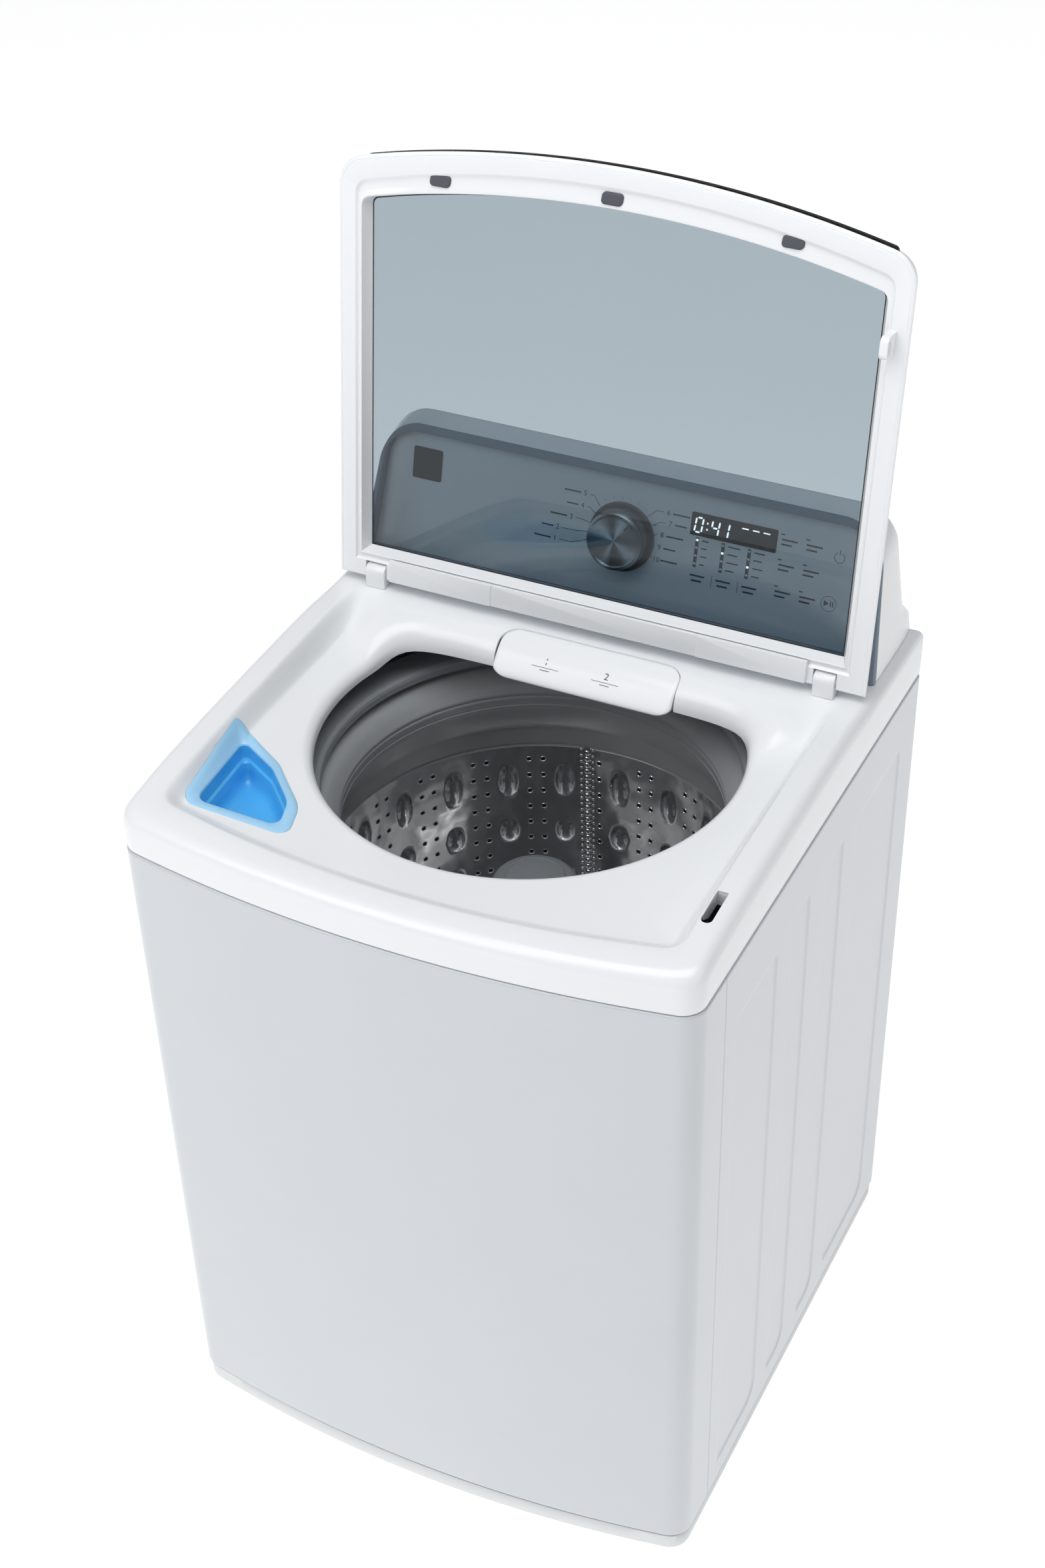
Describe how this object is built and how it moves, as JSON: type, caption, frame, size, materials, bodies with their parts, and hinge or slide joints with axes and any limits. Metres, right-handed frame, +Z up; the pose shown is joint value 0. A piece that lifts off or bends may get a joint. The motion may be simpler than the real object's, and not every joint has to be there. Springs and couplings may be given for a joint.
{
  "type": "top load washing machine",
  "caption": "Top load washing machine with a glazed lid standing open, a rear console with a dial and display, and a steel basket with an agitator.",
  "frame": {"origin": "on the floor, under the middle of the cabinet", "axes": "+X to the right seen from the front, -Y towards the user at the front, +Z up"},
  "size_m": [0.686, 0.7054, 1.5012],
  "materials": {
    "cabinet_enamel": "gloss white enamel",
    "galvanised_steel": "zinc coated sheet steel",
    "base_plastic": "light grey satin",
    "zinc_steel": "zinc plated",
    "dark_plastic": "dark grey satin",
    "spring_steel": "bright spring wire",
    "cover_plastic": "gloss white",
    "cup_blue": "gloss blue",
    "panel_silver": "fine brushed silver",
    "display_black": "gloss black",
    "board_green": "solder mask green",
    "white_plastic": "satin white",
    "black_rubber": "matt black",
    "foot_plastic": "dark grey",
    "knob_chrome": "spun chrome",
    "tub_plastic": "light grey glass filled plastic",
    "cover_ring_grey": "mid grey satin",
    "cast_alloy": "die cast",
    "copper_winding": "enamelled copper on a steel core",
    "pump_plastic": "grey plastic",
    "drum_steel": "bright stainless steel",
    "balance_grey": "grey satin",
    "agitator_grey": "grey satin",
    "agitator_cap_grey": "grey satin",
    "rotor_steel": "black coated steel",
    "lid_plastic": "gloss white",
    "lid_glass": "tinted tempered glass",
    "bumper_grey": "dark grey rubber"
  },
  "bodies": {
    "cabinet": {"front_panel": "cabinet_enamel", "left_side_panel": "cabinet_enamel", "right_side_panel": "cabinet_enamel", "rear_panel": "galvanised_steel", "base_frame": "base_plastic", "foot_lock_nuts": "zinc_steel", "corner_brackets": "galvanised_steel", "suspension_rods": "zinc_steel", "spring_cups": "dark_plastic", "suspension_springs": "spring_steel", "top_cover": "cover_plastic", "bleach_cup": "cup_blue", "hinge_knuckles": "cover_plastic", "lid_lock_housing": "dark_plastic", "console_housing": "cover_plastic", "console_rear_cover": "galvanised_steel", "console_facia": "panel_silver", "display_window": "display_black", "knob_ring": "dark_plastic", "control_board": "board_green", "dispenser_housing": "cover_plastic", "inlet_valve": "white_plastic", "fill_hoses": "black_rubber", "drain_hose": "black_rubber", "drain_spigot": "dark_plastic", "cord_gland": "dark_plastic", "rear_panel_screws": "zinc_steel"},
    "foot_fl": {"foot_front_left": "foot_plastic"},
    "foot_fr": {"foot_front_right": "foot_plastic"},
    "foot_rl": {"foot_rear_left": "foot_plastic"},
    "foot_rr": {"foot_rear_right": "foot_plastic"},
    "lock_bolt": {"lid_lock_bolt": "cover_plastic"},
    "knob": {"control_knob": "knob_chrome"},
    "drawer": {"drawer_tray": "cover_plastic", "drawer_front": "cover_plastic", "siphon_cap": "cup_blue"},
    "tub": {"outer_tub": "tub_plastic", "tub_cover_ring": "cover_ring_grey", "bearing_housing": "cast_alloy", "upper_bearing": "zinc_steel", "lower_bearing": "zinc_steel", "shaft_seal": "black_rubber", "motor_stator": "copper_winding", "pump_housing": "pump_plastic", "pump_motor": "pump_plastic"},
    "pump_rotor": {"pump_impeller": "white_plastic"},
    "basket": {"basket": "drum_steel", "balance_ring": "balance_grey", "basket_hub": "white_plastic", "spin_tube": "zinc_steel"},
    "agitator": {"agitator": "agitator_grey", "agitator_cap": "agitator_cap_grey", "drive_shaft": "zinc_steel", "motor_rotor": "rotor_steel"},
    "lid": {"lid_frame": "lid_plastic", "lid_glass": "lid_glass", "lid_bumpers": "bumper_grey", "lid_striker": "lid_plastic", "lid_hinge_pins": "zinc_steel", "lid_hinge_cover": "lid_plastic"}
  },
  "joints": [
    {"name": "lid_hinge", "type": "hinge", "parent": "cabinet", "child": "lid", "pos_m": [0, 0.18, 0.975], "axis": [1, 0, 0], "range_deg": [0, 100]},
    {"name": "drawer_slide", "type": "slide", "parent": "cabinet", "child": "drawer", "axis": [0, -1, 0], "range_m": [0, 0.11]},
    {"name": "knob_turn", "type": "hinge", "parent": "cabinet", "child": "knob", "pos_m": [0, 0.25767, 1.04841], "axis": [0, -0.9659, 0.2588], "continuous": true},
    {"name": "lock_bolt_slide", "type": "slide", "parent": "cabinet", "child": "lock_bolt", "axis": [-1, 0, 0], "range_m": [0, 0.01]},
    {"name": "tub_bounce", "type": "slide", "parent": "cabinet", "child": "tub", "axis": [0, 0, 1], "range_m": [-0.02, 0.015], "stiffness_N_per_m": 15000, "springref_m": 0.02384, "deforming": ["suspension_springs", "drain_hose"]},
    {"name": "basket_spin", "type": "hinge", "parent": "tub", "child": "basket", "pos_m": [0, 0.008, 0.5], "axis": [0, 0, 1], "continuous": true},
    {"name": "agitator_spin", "type": "hinge", "parent": "tub", "child": "agitator", "pos_m": [0, 0.008, 0.5], "axis": [0, 0, 1], "continuous": true},
    {"name": "pump_spin", "type": "hinge", "parent": "tub", "child": "pump_rotor", "pos_m": [0.15, 0.13, 0.22], "axis": [0, 0, 1], "continuous": true},
    {"name": "foot_fl_screw", "type": "slide", "parent": "cabinet", "child": "foot_fl", "axis": [0, 0, -1], "range_m": [0, 0.015]},
    {"name": "foot_fr_screw", "type": "slide", "parent": "cabinet", "child": "foot_fr", "axis": [0, 0, -1], "range_m": [0, 0.015]},
    {"name": "foot_rl_screw", "type": "slide", "parent": "cabinet", "child": "foot_rl", "axis": [0, 0, -1], "range_m": [0, 0.015]},
    {"name": "foot_rr_screw", "type": "slide", "parent": "cabinet", "child": "foot_rr", "axis": [0, 0, -1], "range_m": [0, 0.015]}
  ]
}
